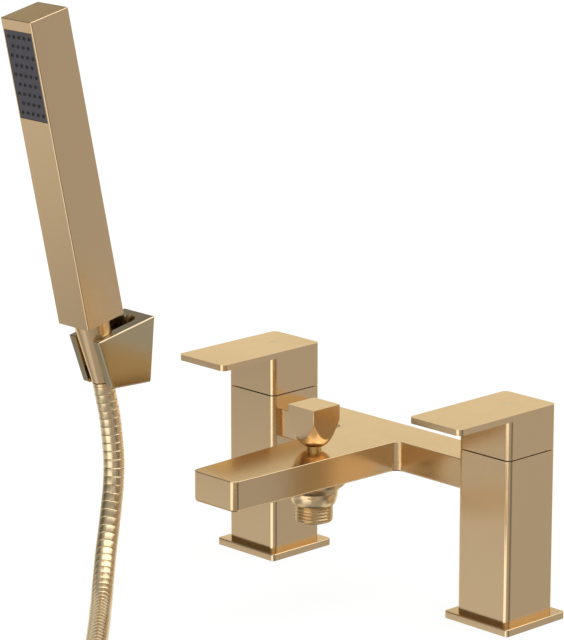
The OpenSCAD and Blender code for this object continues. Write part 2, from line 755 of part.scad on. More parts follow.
// Points of the route: a smooth curve through the chosen points
function turn_x(v, a) = [v[0], v[1] * cos(a) - v[2] * sin(a), v[1] * sin(a) + v[2] * cos(a)];
function socket_point(z) = bracket_at
    + turn_x([0, -socket_y, socket_z] + turn_x([0, 0, z], handset_tilt), -bracket_lean);
exit_at = socket_point(exit_z);
exit_way = unit(socket_point(exit_z - 1) - exit_at);
coil_first = [coil_at[0] + coil_r * cos(coil_start), coil_at[1] + coil_r * sin(coil_start), lay_z];
coil_way = [-sin(coil_start), cos(coil_start), 0];
meet_at = coil_first - coil_way * hose_d;
tube_points = concat([exit_at - exit_way * hose_d, exit_at], route, [meet_at, meet_at + coil_way * hose_d]);
function curve(p, i, t) = let (a = p[i - 1], b = p[i], c = p[i + 1], d = p[i + 2])
    0.5 * (2 * b + (c - a) * t + (2 * a - 5 * b + 4 * c - d) * t * t + (3 * b - a - 3 * c + d) * t * t * t);
FINE = 8;
fine = concat([for (i = [1:len(tube_points) - 3], k = [0:FINE - 1]) curve(tube_points, i, k / FINE)],
              [tube_points[len(tube_points) - 2]]);
function lengths(p, i = 0, sum = [0]) = i == len(p) - 1 ? sum
    : lengths(p, i + 1, concat(sum, [sum[i] + norm(p[i + 1] - p[i])]));
reach = lengths(fine);
tube_len = reach[len(reach) - 1];
function slot_of(s, i) = i >= len(reach) - 2 || reach[i + 1] > s ? i : slot_of(s, i + 1);
function place(s) = let (i = slot_of(s, floor(max(s, 0) / (tube_len * 1.6) * len(reach))))
    fine[i] + (fine[i + 1] - fine[i]) * (s - reach[i]) / (reach[i + 1] - reach[i]);
function rings(centre, way, radius, up, sides) = [for (i = [0:len(centre) - 1])
    let (n = unit(up - way[i] * (up * way[i])), b = cross(way[i], n))
    for (k = [0:sides - 1]) centre[i] + radius[i] * (n * cos(360 * k / sides) + b * sin(360 * k / sides))];
function ways(p, first, last) = [for (i = [0:len(p) - 1])
    i == 0 ? first : i == len(p) - 1 ? last : unit(p[i + 1] - p[i - 1])];
// triangles of a tube's side between its rings, and of the flat ends
function skin(first, count, sides, flip) = [for (i = [0:count - 2], k = [0:sides - 1])
    let (a = first + i * sides + k, b = first + i * sides + (k + 1) % sides, c = a + sides, d = b + sides)
    for (f = [[a, c, b], [b, c, d]]) flip ? [f[0], f[2], f[1]] : f];
function cap(out, bore, sides, flip) = [for (k = [0:sides - 1])
    let (a = out + k, b = out + (k + 1) % sides, c = bore + k, d = bore + (k + 1) % sides)
    for (f = [[a, b, c], [b, d, c]]) flip ? [f[0], f[2], f[1]] : f];

RIB_SIDES = 8;
rib_count = floor((tube_len - 2) / rib_pitch);
rib_step = tube_len / rib_count;
tube_s = concat([0], [for (k = [0:rib_count - 1]) each [(k + 0.3) * rib_step, (k + 0.8) * rib_step]], [tube_len]);
tube_radii = [for (i = [0:len(tube_s) - 1]) i == 0 || i % 2 == 1 || i == len(tube_s) - 1 ? hose_r : hose_r - rib_depth];
bore_s = [for (k = [0:rib_count]) k * rib_step];

module hose_tube() {
    across = [cos(coil_start - 180), sin(coil_start - 180), 0];
    centre = [for (s = tube_s) place(s)];
    middle = [for (s = bore_s) place(s)];
    outer = rings(centre, ways(centre, exit_way, coil_way), tube_radii, across, RIB_SIDES);
    inner = rings(middle, ways(middle, exit_way, coil_way), [for (s = bore_s) hose_bore_r], across, RIB_SIDES);
    n = len(centre) * RIB_SIDES;
    m = (len(middle) - 1) * RIB_SIDES;
    last = (len(centre) - 1) * RIB_SIDES;
    color(BRASS) polyhedron(concat(outer, inner), concat(skin(0, len(centre), RIB_SIDES, false),
        skin(n, len(middle), RIB_SIDES, true), cap(0, n, RIB_SIDES, false), cap(last, n + m, RIB_SIDES, true)));
}

// The coil: in on the deck, up in the half turn where it turns back, and out on top
function coil_radius(t) = coil_r - turn_step * min(t, turn_back) + turn_out * max(t - turn_back, 0);
function soft(x) = let (c = min(max(x, 0), 1)) c * c * (3 - 2 * c);
function coil_height(t) = lay_z + turn_step * soft((t - climb_from) / (climb_to - climb_from))
    + (nut_axis_z - lay_z - turn_step) * soft((t - rise_from) / (coil_turns - rise_from));
function coil_point(t) = let (a = coil_start + 360 * t)
    [coil_at[0] + coil_radius(t) * cos(a), coil_at[1] + coil_radius(t) * sin(a), coil_height(t)];
LOOP_RINGS = 24;
LOOP_SIDES = 6;
coil_end = coil_point(coil_turns);
end_way = let (a = coil_start + 360 * coil_turns) unit([-sin(a), cos(a), 0]);
tail_at = coil_end + end_way * hose_d;
coil_line = concat([meet_at], [for (i = [0:coil_turns * LOOP_RINGS]) coil_point(i / LOOP_RINGS)], [tail_at]);

module hose_coil() {
    along = ways(coil_line, coil_way, end_way);
    outer = rings(coil_line, along, [for (p = coil_line) hose_r], [0, 0, 1], LOOP_SIDES);
    inner = rings(coil_line, along, [for (p = coil_line) hose_bore_r], [0, 0, 1], LOOP_SIDES);
    n = len(outer);
    last = n - LOOP_SIDES;
    color(BRASS) polyhedron(concat(outer, inner), concat(skin(0, len(coil_line), LOOP_SIDES, false),
        skin(n, len(coil_line), LOOP_SIDES, true), cap(0, n, LOOP_SIDES, false), cap(last, n + last, LOOP_SIDES, true)));
}

// least distance between turns at least half a loop apart, less the hose's diameter
coil_gap = min([for (i = [0:len(coil_line) - 1], k = [i + LOOP_RINGS / 2:len(coil_line) - 1])
    norm(coil_line[i] - coil_line[k])]) - hose_d;
coil_len = lengths(coil_line)[len(coil_line) - 1];
echo(coil_gap = coil_gap, tube_len = tube_len, coil_len = coil_len, hose_len = tube_len + coil_len);

// End frame: z runs out of the hose's end
module on_end() {
    translate(tail_at) rotate([0, 0, coil_start + 360 * coil_turns]) rotate([-90, 0, 0]) children();
}

module hose_end_ferrule() {
    color(DEEP_BRASS) on_end() difference() {
        union() {
            cylinder(r = end_ferrule_r, h = end_len);
            cylinder(r = neck_r, h = end_len + end_neck + end_wall + end_head_t);
            translate([0, 0, end_len + end_neck + end_wall + fit_gap]) cylinder(r = end_head_r, h = end_head_t);
        }
        translate([0, 0, -1]) cylinder(r = ferrule_bore_r, h = 40);
    }
}

module hose_end_nut() {
    color(BRASS) on_end() translate([0, 0, end_len + end_neck]) difference() {
        cylinder(r = end_nut_flats / sqrt(3), h = end_nut_l, $fn = 6);
        translate([0, 0, -1]) cylinder(r = neck_r + fit_gap, h = end_nut_l + 2);
        translate([0, 0, end_wall]) cylinder(r = end_relief_r, h = end_relief_h);
        translate([0, 0, end_wall]) cylinder(r = end_thread_r, h = end_nut_l);
    }
}

module hose_end_washer() {
    color(RUBBER) on_end() translate([0, 0, end_len + end_neck + end_wall + fit_gap + end_head_t])
        ring(end_thread_r - 0.8, ferrule_bore_r + 1, end_washer_t);
}

bridge();
spout();
for (side = SIDES) {
    pillar(side);
    base_plate(side);
    base_gasket(side);
    lever_handle(side);
    lever_index(side);
    lever_screw(side);
    cartridge_body(side);
    cartridge_spindle(side);
    spindle_oring(side);
    fixed_disc(side);
    moving_disc(side);
    cartridge_seal(side);
}
diverter_knob();
diverter_spindle();
diverter_oring();
diverter_spring();
diverter_valve();
diverter_seal();
shower_outlet();
aerator_housing();
aerator_insert();
bracket_body();
bracket_wall_plate();
bracket_screw();
bracket_liner();
handset_body();
spray_plate();
spray_nozzles();
handset_waterway();
handset_connector();
handset_washer();
hose_cone_nut();
hose_ferrule();
hose_tube();
hose_coil();
hose_end_ferrule();
hose_end_nut();
hose_end_washer();
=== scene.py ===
import json
import math

import bmesh
import bpy
import numpy as np
from mathutils import Matrix, Vector


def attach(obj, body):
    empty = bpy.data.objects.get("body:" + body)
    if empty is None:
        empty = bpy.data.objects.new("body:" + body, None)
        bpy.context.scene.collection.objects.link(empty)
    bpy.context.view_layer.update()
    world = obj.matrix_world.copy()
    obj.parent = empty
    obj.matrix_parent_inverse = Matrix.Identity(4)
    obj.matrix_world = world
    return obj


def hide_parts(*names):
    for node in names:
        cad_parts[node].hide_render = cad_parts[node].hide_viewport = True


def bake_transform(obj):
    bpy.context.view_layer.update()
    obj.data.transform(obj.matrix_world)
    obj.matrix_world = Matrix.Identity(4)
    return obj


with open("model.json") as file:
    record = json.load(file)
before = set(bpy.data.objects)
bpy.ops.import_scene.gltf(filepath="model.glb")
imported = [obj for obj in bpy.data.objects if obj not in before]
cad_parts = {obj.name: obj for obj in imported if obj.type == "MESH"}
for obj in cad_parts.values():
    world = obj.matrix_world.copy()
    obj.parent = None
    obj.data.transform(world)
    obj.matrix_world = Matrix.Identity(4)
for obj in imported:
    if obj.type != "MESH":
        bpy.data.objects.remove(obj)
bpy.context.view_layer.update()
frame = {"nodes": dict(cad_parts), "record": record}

# Sizes in millimetres, as the solids have them
MM = 0.001
RUN_GAP = 0.3

PILLAR_X = 90
PILLAR_W = 37
PILLAR_R = 3.1
PILLAR_TOP = 95.5
BASE_W = 46.5
BASE_R = 2
BASE_T = 4
WATER_R = 6
INLET_R = 12.05
INLET_TOP = 20
VALVE_R = 12
VALVE_Z = 63

SLAB_Z = 71
SLAB_TOP = 88
BRIDGE_HALF = 13.5
SPOUT_REACH = 131.5
SPOUT_ROOT_W = 42
SPOUT_TIP_W = 32.5
CORNER_R = 4.5
TIP_R = 3.8
SPOUT_SLOPE = (SPOUT_ROOT_W - SPOUT_TIP_W) / 2 / (SPOUT_REACH - BRIDGE_HALF)
SPOUT_TURN = math.degrees(math.atan(SPOUT_SLOPE))
AERATOR_Y = -116.5
AERATOR_R = 10.4
AERATOR_TOP = 78

LEVER_Z = 96
LEVER_TOP = 120.7
LEVER_T = 3.4
LEVER_L = 75.5
HUB_R = 8
HOLLOW_HALF = 15.9
HOLLOW_TOP = 112.3
SPINDLE_R = 4.05
SCREW_Z = 106.5
DOT_R = 1.8
DOT_FLOOR = 119.7

DIVERTER_Y = -56.5
STEM_R = 4.1
KNOB_W = 20
KNOB_Z = 90.5
KNOB_TOP = 113
BOSS_Z = 64.7
BOSS_R = 13.1
BOSS_FOOT_R = 17.3
CHAMBER_R = 9.6
CHAMBER_TOP = 78
SPRING_Z = (72.3, 84.5)
SPRING_R = 5.1
SPRING_WIRE = 0.55
SPRING_TURNS = 3
OUTLET_BORE_R = 6.5
OUTLET_Z = 47.7
OUTLET_THREAD_TOP = 57.06
OUTLET_THREAD_R = 10.48
OUTLET_THREAD_DEPTH = 0.72
OUTLET_PITCH = 1.814

BRACKET_W = 25.6
BRACKET_H = 37.6
BRACKET_D = 40.6
BRACKET_SLOPE = math.tan(math.radians(16))
BRACKET_LEAN = -5
SOCKET_Y = 33
SOCKET_TILT = 17
SOCKET_Z = BRACKET_H / 2 - SOCKET_Y * BRACKET_SLOPE
HANDSET_SEAT = 9
BAR_W = 25
BAR_D = 26.8
BAR_L = 178
BAR_R = 0.8
BAR_WALL = 1.8
BAR_END_WALL = 2.5
SPRAY_W = 22.2
SPRAY_L = 50.4
SPRAY_Z = 146.4
SPRAY_BACK = 12.3
SPRAY_FRONT = 13.3
SPRAY_GAP = 0.1
CONE_L = 37
CONE_TOP_R = 10.5
CONE_END_R = 6.1
CONE_TAPER = 0.12
FERRULE_R = 4.65
FERRULE_RING = 1.6

HOSE_R = 6.0
HOSE_BORE_R = 4.4
HOSE_END_R = 5.9
HOSE_SIDES = 24
LINK_PITCH = 5
COIL_AT = Vector((125, -235, 0))
COIL_R = 73.0
COIL_START = 226.0
COIL_TURNS = 3
TURN_BACK = 1.75
STEP_IN = 12.5
STEP_OUT = 13.5
STRAIGHT_END = 12
LAY_Z = HOSE_R + 0.1
NUT_ACROSS = 24
NUT_CORNER = NUT_ACROSS / math.sqrt(3)
NUT_L = 15
NUT_BACK = 13.2
NUT_Z = 2 * HOSE_R + 0.1 + NUT_CORNER + RUN_GAP

# Camera
CAMERA_AZIMUTH = math.radians(46.03)
CAMERA_ELEVATION = math.radians(14.276)
CAMERA_DISTANCE = 2.0014
CAMERA_TARGET = Vector((-0.08363, 0, 0.1348))
CAMERA_SENSOR = 36
CAMERA_LENS = 198.45
CAMERA_REACH = 50


def add_camera():
    level = math.cos(CAMERA_ELEVATION)
    way = Vector((-math.sin(CAMERA_AZIMUTH) * level, math.cos(CAMERA_AZIMUTH) * level,
                  -math.sin(CAMERA_ELEVATION)))
    data = bpy.data.cameras.new("camera")
    data.sensor_fit = "VERTICAL"
    data.sensor_height = CAMERA_SENSOR
    data.lens = CAMERA_LENS
    data.clip_end = CAMERA_REACH
    camera = bpy.data.objects.new("camera", data)
    bpy.context.collection.objects.link(camera)
    camera.location = CAMERA_TARGET - way * CAMERA_DISTANCE
    camera.rotation_mode = "QUATERNION"
    camera.rotation_quaternion = way.to_track_quat("-Z", "Y")
    bpy.context.scene.camera = camera


add_camera()


# Places of the bracket, the handset and the diverter
def moved(x, y, z):
    return Matrix.Translation((x, y, z))


def turned(angle):
    return Matrix.Rotation(math.radians(angle), 4, "X")


BRACKET = moved(-111.7, -84.4, 130.4) @ turned(BRACKET_LEAN)
SOCKET = BRACKET @ moved(0, -SOCKET_Y, SOCKET_Z) @ turned(SOCKET_TILT)
HANDSET = SOCKET @ moved(0, 0, HANDSET_SEAT)
# the spray face's own height runs along the handset, and its depth runs forward
HANDSET_FACE = HANDSET @ Matrix(((1, 0, 0, 0), (0, 0, -1, 0), (0, 1, 0, 0), (0, 0, 0, 1)))
DIVERTER = moved(0, DIVERTER_Y, 0)
EXIT_Z = HANDSET_SEAT - CONE_L - RUN_GAP - FERRULE_RING


# Node helpers
class Nodes:
    def __init__(self, tree):
        self.tree = tree
        tree.nodes.clear()

    def add(self, kind, inputs=None, **settings):
        node = self.tree.nodes.new(kind)
        for key, value in settings.items():
            setattr(node, key, value)
        for key, value in (inputs or {}).items():
            if isinstance(value, bpy.types.NodeSocket):
                self.tree.links.new(value, node.inputs[key])
            else:
                node.inputs[key].default_value = value
        return node

    def math(self, operation, *values):
        node = self.add("ShaderNodeMath", dict(enumerate(values)), operation=operation)
        return node.outputs[0]

    def ramp(self, value, low, high, out_low=0.0, out_high=1.0, smooth=True):
        node = self.add("ShaderNodeMapRange", {0: value, 1: low, 2: high, 3: out_low, 4: out_high})
        node.interpolation_type = "SMOOTHSTEP" if smooth else "LINEAR"
        return node.outputs[0]

    def mix(self, factor, a, b):
        node = self.add("ShaderNodeMix", {"Factor": factor}, data_type="RGBA")
        node.inputs[6].default_value = (*a, 1)
        node.inputs[7].default_value = (*b, 1)
        return node.outputs[2]

    def noise(self, place, scale, detail, **inputs):
        inputs = {"Vector": place, "Scale": scale, "Detail": detail, **inputs}
        return self.add("ShaderNodeTexNoise", inputs).outputs["Fac"]

    def stretched(self, place, scale):
        return self.add("ShaderNodeMapping", {"Vector": place, "Scale": scale}).outputs[0]

    def blended(self, a, b, share):
        """The sum of a and b, where b has the given share."""
        return self.math("ADD", self.math("MULTIPLY", a, 1 - share), self.math("MULTIPLY", b, share))


def new_material(name):
    material = bpy.data.materials.new(name)
    material.use_nodes = True
    return material, Nodes(material.node_tree)


def shades(color, spread):
    """The darker and the lighter end of a colour's range."""
    return tuple(c * (1 - spread) for c in color), tuple(min(c * (1 + spread), 1) for c in color)


# Looks of the materials, with scales in repeats a metre
BRUSH_ALONG = 90.0
BRUSH_ACROSS = 5200.0
CLOUD_SCALE = 34.0
CLOUD_SHARE = 0.3
BRUSH_DEPTH = 0.00004


def brush_scale(along):
    """The scale that stretches noise into lines along one axis."""
    return tuple(BRUSH_ALONG if axis == along else BRUSH_ACROSS for axis in "XYZ")


def brushed_metal(name, color, roughness, streak=0.05, bump=0.06, along="Z", edge=(1.0, 0.9, 0.68)):
    """Metal with fine brush lines along one axis, faint clouding and a little spread in its gloss."""
    material, n = new_material(name)
    place = n.add("ShaderNodeTexCoord").outputs["Object"]
    lines = n.stretched(place, brush_scale(along))
    # faces that look up or down are brushed along Y
    flat = n.stretched(place, brush_scale("Y"))
    normal = n.add("ShaderNodeNewGeometry").outputs["Normal"]
    upward = n.math("ABSOLUTE", n.add("ShaderNodeSeparateXYZ", {0: normal}).outputs[2])
    side = n.noise(lines, 1.0, 2.0)
    top = n.noise(flat, 1.0, 2.0)
    pick = n.ramp(upward, 0.55, 0.75)
    on_sides = n.math("MULTIPLY", side, n.math("SUBTRACT", 1.0, pick))
    grain = n.math("ADD", on_sides, n.math("MULTIPLY", top, pick))
    cloud = n.noise(place, CLOUD_SCALE, 3.0, Roughness=0.55)
    tint = n.mix(n.blended(grain, cloud, CLOUD_SHARE), *shades(color, streak))
    rough = n.math("ADD", n.ramp(grain, 0.3, 0.7, roughness * 0.85, roughness * 1.12, False),
                   n.ramp(cloud, 0.3, 0.7, -0.012, 0.012, False))
    relief = n.add("ShaderNodeBump", {"Height": grain, "Strength": bump, "Distance": BRUSH_DEPTH}).outputs[0]
    shader = n.add("ShaderNodeBsdfPrincipled", {"Base Color": tint, "Metallic": 1.0, "Roughness": rough,
                                                "Normal": relief, "Specular Tint": (*edge, 1)})
    n.add("ShaderNodeOutputMaterial", {0: shader.outputs[0]})
    return material


BROAD_SCALE = 60.0
BROAD_SHARE = 0.4
MOULD_DEPTH = 0.00006


def moulded(name, color, roughness, speckle=0.12, bump=0.1, scale=1400.0):
    """Rubber or plastic with a fine moulded grain."""
    material, n = new_material(name)
    place = n.add("ShaderNodeTexCoord").outputs["Object"]
    grain = n.noise(place, scale, 3.0)
    broad = n.noise(place, BROAD_SCALE, 2.0)
    tint = n.mix(n.blended(grain, broad, BROAD_SHARE), *shades(color, speckle))
    rough = n.ramp(grain, 0.3, 0.7, roughness * 0.9, min(roughness * 1.1, 1), False)
    relief = n.add("ShaderNodeBump", {"Height": grain, "Strength": bump, "Distance": MOULD_DEPTH}).outputs[0]
    shader = n.add("ShaderNodeBsdfPrincipled", {"Base Color": tint, "Roughness": rough, "Normal": relief})
    n.add("ShaderNodeOutputMaterial", {0: shader.outputs[0]})
    return material


BRASS = (0.735, 0.54, 0.322)
DEEP_BRASS = (0.76, 0.58, 0.35)
# a darker copy of the brass, with painted shade in it for the bracket
SHADED_BRASS = (0.54, 0.445, 0.285)
HOSE_METAL = (0.76, 0.605, 0.38)
PALE_EDGE = (1.0, 0.95, 0.84)
MATERIALS = {
    "brushed_brass": brushed_metal("brushed_brass", BRASS, 0.2),
    "brushed_brass_y": brushed_metal("brushed_brass_y", BRASS, 0.2, along="Y"),
    "deep_brass": brushed_metal("deep_brass", DEEP_BRASS, 0.24, streak=0.015, bump=0.01),
    # the bracket's brass carries painted shade: a darker copy of the brass
    "bracket_brass": brushed_metal("bracket_brass", SHADED_BRASS, 0.16, streak=0.02, bump=0.02,
                                   edge=PALE_EDGE),
    "hose_cover": brushed_metal("hose_cover", HOSE_METAL, 0.27, streak=0.02, bump=0.02, edge=PALE_EDGE),
    "steel": brushed_metal("steel", (0.60, 0.61, 0.63), 0.25, streak=0.03, edge=(1.0, 1.0, 1.0)),
    "rubber": moulded("rubber", (0.022, 0.022, 0.024), 0.6),
    "spray_grey": moulded("spray_grey", (0.075, 0.07, 0.085), 0.45, speckle=0.2, scale=2600.0),
    "grey_plastic": moulded("grey_plastic", (0.32, 0.32, 0.33), 0.45),
    "ceramic": moulded("ceramic", (0.86, 0.85, 0.81), 0.18, speckle=0.02, bump=0.02),
}
# the material slot of each solid, from model.json
SLOTS = {part["node"]: part["material_slot"] for part in frame["record"]["subparts"]}


def dress(obj, material):
    obj.data.materials.clear()
    obj.data.materials.append(MATERIALS[material])


# Mesh helpers, with sizes in millimetres
def placed(name, mesh, merge=False):
    """Turns a mesh's faces outward and puts it in the scene, with points on one spot merged if asked."""
    bm = bmesh.new()
    bm.from_mesh(mesh)
    if merge:
        bmesh.ops.remove_doubles(bm, verts=bm.verts, dist=1e-7)
    bmesh.ops.recalc_face_normals(bm, faces=bm.faces)
    bm.to_mesh(mesh)
    bm.free()
    obj = bpy.data.objects.new(name, mesh)
    bpy.context.collection.objects.link(obj)
    return obj


def piece(name, verts, faces, matrix=None):
    place = matrix or Matrix.Identity(4)
    mesh = bpy.data.meshes.new(name)
    mesh.from_pydata([tuple((place @ Vector(v)) * MM) for v in verts], [], faces)
    mesh.validate()
    return placed(name, mesh, merge=True)


def prism(name, outline, z0, z1, matrix=None):
    count = len(outline)
    verts = [(x, y, z) for z in (z0, z1) for x, y in outline]
    faces = [list(range(count))[::-1], list(range(count, 2 * count))]
    faces += [[i, (i + 1) % count, count + (i + 1) % count, count + i] for i in range(count)]
    return piece(name, verts, faces, matrix)


def box(name, low, high, matrix=None):
    outline = [(low[0], low[1]), (high[0], low[1]), (high[0], high[1]), (low[0], high[1])]
    return prism(name, outline, low[2], high[2], matrix)


def arc(cx, cy, radius, start, end, steps=12):
    angles = [math.radians(start + (end - start) * i / steps) for i in range(steps + 1)]
    return [(cx + radius * math.cos(a), cy + radius * math.sin(a)) for a in angles]


def rounded(width, depth, radius, cx=0.0, cy=0.0, steps=8):
    points = []
    for k, (sx, sy) in enumerate(((1, 1), (-1, 1), (-1, -1), (1, -1))):
        corner = (cx + sx * (width / 2 - radius), cy + sy * (depth / 2 - radius))
        points += arc(*corner, radius, 90 * k, 90 * k + 90, steps)
    return points


def column(*steps):
    """A lathe profile of a solid: radii with the heights they run between, from the bottom up."""
    profile = [(0, steps[0][1])]
    for radius, low, high in steps:
        profile += [(radius, low), (radius, high)]
    return profile + [(0, steps[-1][2])]


def lathe(name, profile, matrix=None, steps=96):
    """A closed profile of (radius, height) pairs turned round the Z axis."""
    count = len(profile)
    verts = []
    for k in range(steps):
        a = 2 * math.pi * k / steps
        verts += [(r * math.cos(a), r * math.sin(a), z) for r, z in profile]
    faces = []
    for k in range(steps):
        a, b = k * count, (k + 1) % steps * count
        for i in range(count):
            j = (i + 1) % count
            if profile[i][0] < 1e-9 and profile[j][0] < 1e-9:
                continue
            faces.append([a + i, b + i, b + j, a + j])
    return piece(name, verts, faces, matrix)


def settle(obj):
    """Applies the modifiers of an object."""
    graph = bpy.context.evaluated_depsgraph_get()
    graph.update()
    mesh = bpy.data.meshes.new_from_object(obj.evaluated_get(graph))
    old = obj.data
    obj.modifiers.clear()
    obj.data = mesh
    bpy.data.meshes.remove(old)
    return obj


def combine(obj, others, operation="DIFFERENCE"):
    for other in others if isinstance(others, (list, tuple)) else [others]:
        modifier = obj.modifiers.new("cut", "BOOLEAN")
        modifier.operation = operation
        modifier.solver = "EXACT"
        modifier.object = other
        settle(obj)
        mesh = other.data
        bpy.data.objects.remove(other)
        bpy.data.meshes.remove(mesh)
    return obj


def bevel(obj, width, segments=3, angle=35, chosen=None):
    """Rounds the sharp edges; chosen gives an edge's share of the width from its two ends."""
    modifier = obj.modifiers.new("round", "BEVEL")
    modifier.width = width * MM
    modifier.segments = segments
    modifier.use_clamp_overlap = True
    modifier.miter_outer = "MITER_ARC"
    if chosen:
        modifier.limit_method = "WEIGHT"
        weigh_edges(obj, angle, chosen)
    else:
        modifier.limit_method = "ANGLE"
        modifier.angle_limit = math.radians(angle)
    return settle(obj)


def weigh_edges(obj, angle, chosen):
    bm = bmesh.new()
    bm.from_mesh(obj.data)
    layer = bm.edges.layers.float.new("bevel_weight_edge")
    for edge in bm.edges:
        if len(edge.link_faces) == 2 and edge.calc_face_angle(0) > math.radians(angle):
            edge[layer] = chosen(edge.verts[0].co / MM, edge.verts[1].co / MM)
    bm.to_mesh(obj.data)
    bm.free()


def level_edges(shares):
    """Edges that lie level at a given height get a share of the bevel."""
    def share(a, b):
        for height, part in shares:
            if abs(a.z - height) < 0.01 and abs(b.z - height) < 0.01:
                return part
        return 0.0
    return share


def smooth(obj, weighted=True, angle=38):
    obj.data.polygons.foreach_set("use_smooth", [True] * len(obj.data.polygons))
    obj.data.set_sharp_from_angle(angle=math.radians(angle))
    if weighted:
        modifier = obj.modifiers.new("normals", "WEIGHTED_NORMAL")
        modifier.keep_sharp = True
        modifier.weight = 80
    obj.data.update()
    return obj


def joined(name, objects):
    bm = bmesh.new()
    for obj in objects:
        bm.from_mesh(obj.data)
    mesh = bpy.data.meshes.new(name)
    bm.to_mesh(mesh)
    bm.free()
    for obj in objects:
        old = obj.data
        bpy.data.objects.remove(obj)
        bpy.data.meshes.remove(old)
    result = bpy.data.objects.new(name, mesh)
    bpy.context.collection.objects.link(result)
    return result


def stand_for(obj, body, material, *nodes, slot=None):
    dress(obj, material)
    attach(obj, body)
    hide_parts(*nodes)
    return obj


# Hose, whose route is in metres
ROUTE = [(-0.1117, -0.1081, 0.1034), (-0.1117, -0.1059, 0.0934), (-0.1112, -0.1047, 0.0804),
         (-0.1096, -0.1051, 0.0674), (-0.1074, -0.1077, 0.0545), (-0.1039, -0.1126, 0.0426),
         (-0.099, -0.1189, 0.0322), (-0.0929, -0.1263, 0.0232), (-0.0854, -0.1343, 0.0159),
         (-0.077, -0.1428, 0.0106), (-0.068, -0.1514, 0.0072), (-0.0584, -0.1606, 0.0061),
         (-0.044, -0.174, 0.0061), (-0.0295, -0.1878, 0.0061), (-0.015, -0.2017, 0.0061),
         (-0.0006, -0.2155, 0.0061), (0.0138, -0.2294, 0.0061), (0.0282, -0.2433, 0.0061),
         (0.0426, -0.2572, 0.0061)]
ROUTE_STEPS = 8
COIL_STEPS = 96
# one link of the metal cover: a groove, a lip and a slightly narrower barrel
LINK = [(0.0, 5.7), (0.16, 5.72), (0.34, 5.95), (0.6, 5.98), (1.3, 5.96), (4.55, 5.94), (4.82, 5.86)]

exit_at = SOCKET @ Vector((0, 0, EXIT_Z))
exit_way = (SOCKET @ Vector((0, 0, EXIT_Z - 1)) - exit_at).normalized()


def around(angle):
    a = math.radians(angle)
    return Vector((math.cos(a), math.sin(a), 0))


def soft_step(x):
    c = min(max(x, 0), 1)
    return c * c * (3 - 2 * c)


def coil_point(t):
    """A point of the coil after t turns: inward on the deck, then outward on top of itself and up."""
    radius = COIL_R - STEP_IN * min(t, TURN_BACK) + STEP_OUT * max(t - TURN_BACK, 0)
    height = LAY_Z + STEP_IN * soft_step((t - 1.5) / 0.5)
    height += (NUT_Z - LAY_Z - STEP_IN) * soft_step((t - 2.7) / 0.3)
    return COIL_AT + around(COIL_START + 360 * t) * radius + Vector((0, 0, height))


def curve_point(a, b, c, d, t):
    """A point between b and c of a smooth curve through a, b, c and d."""
    return 0.5 * (2 * b + (c - a) * t + (2 * a - 5 * b + 4 * c - d) * t * t
                  + (3 * b - a - 3 * c + d) * t ** 3)


coil_way = around(COIL_START + 90)
meet_at = coil_point(0) - coil_way * STRAIGHT_END
tail_at = coil_point(COIL_TURNS) + coil_way * STRAIGHT_END


def hose_line():
    route = [exit_at - exit_way * STRAIGHT_END, exit_at]
    route += [Vector(p) / MM for p in ROUTE]
    route += [meet_at, meet_at + coil_way * STRAIGHT_END]
    points = []
    for i in range(1, len(route) - 2):
        points += [curve_point(*route[i - 1:i + 3], k / ROUTE_STEPS) for k in range(ROUTE_STEPS)]
    points.append(meet_at)
    points += [coil_point(k / COIL_STEPS) for k in range(COIL_STEPS * COIL_TURNS + 1)]
    points.append(tail_at)
    return np.array([tuple(p) for p in points])


line = hose_line()
reach = np.concatenate([[0], np.cumsum(np.linalg.norm(np.diff(line, axis=0), axis=1))])
hose_length = float(reach[-1])


def hose_at(s):
    return np.stack([np.interp(s, reach, line[:, k]) for k in range(3)], axis=1)


def hose_profile():
    """Lengths along the hose and its radii there, link by link."""
    count = round(hose_length / LINK_PITCH)
    pitch = hose_length / count
    lengths = [(k + offset / LINK_PITCH) * pitch for k in range(count) for offset, radius in LINK]
    radii = [radius for offset, radius in LINK] * count
    radii[0] = HOSE_END_R
    return np.array(lengths + [hose_length]), np.array(radii + [HOSE_END_R])


def carried_normals(along):
    """Normals carried along the line without twist, and the directions across both."""
    normals = np.zeros_like(along)
    normal = np.array([1.0, 0, 0])
    for i, way in enumerate(along):
        normal = normal - way * (normal @ way)
        normal /= np.linalg.norm(normal)
        normals[i] = normal
    return normals, np.cross(along, normals)


def rings(centres, normals, others, radii):
    angle = np.arange(HOSE_SIDES) * 2 * math.pi / HOSE_SIDES
    spokes = (np.cos(angle)[None, :, None] * normals[:, None, :]
              + np.sin(angle)[None, :, None] * others[:, None, :])
    return centres[:, None, :] + radii[:, None, None] * spokes


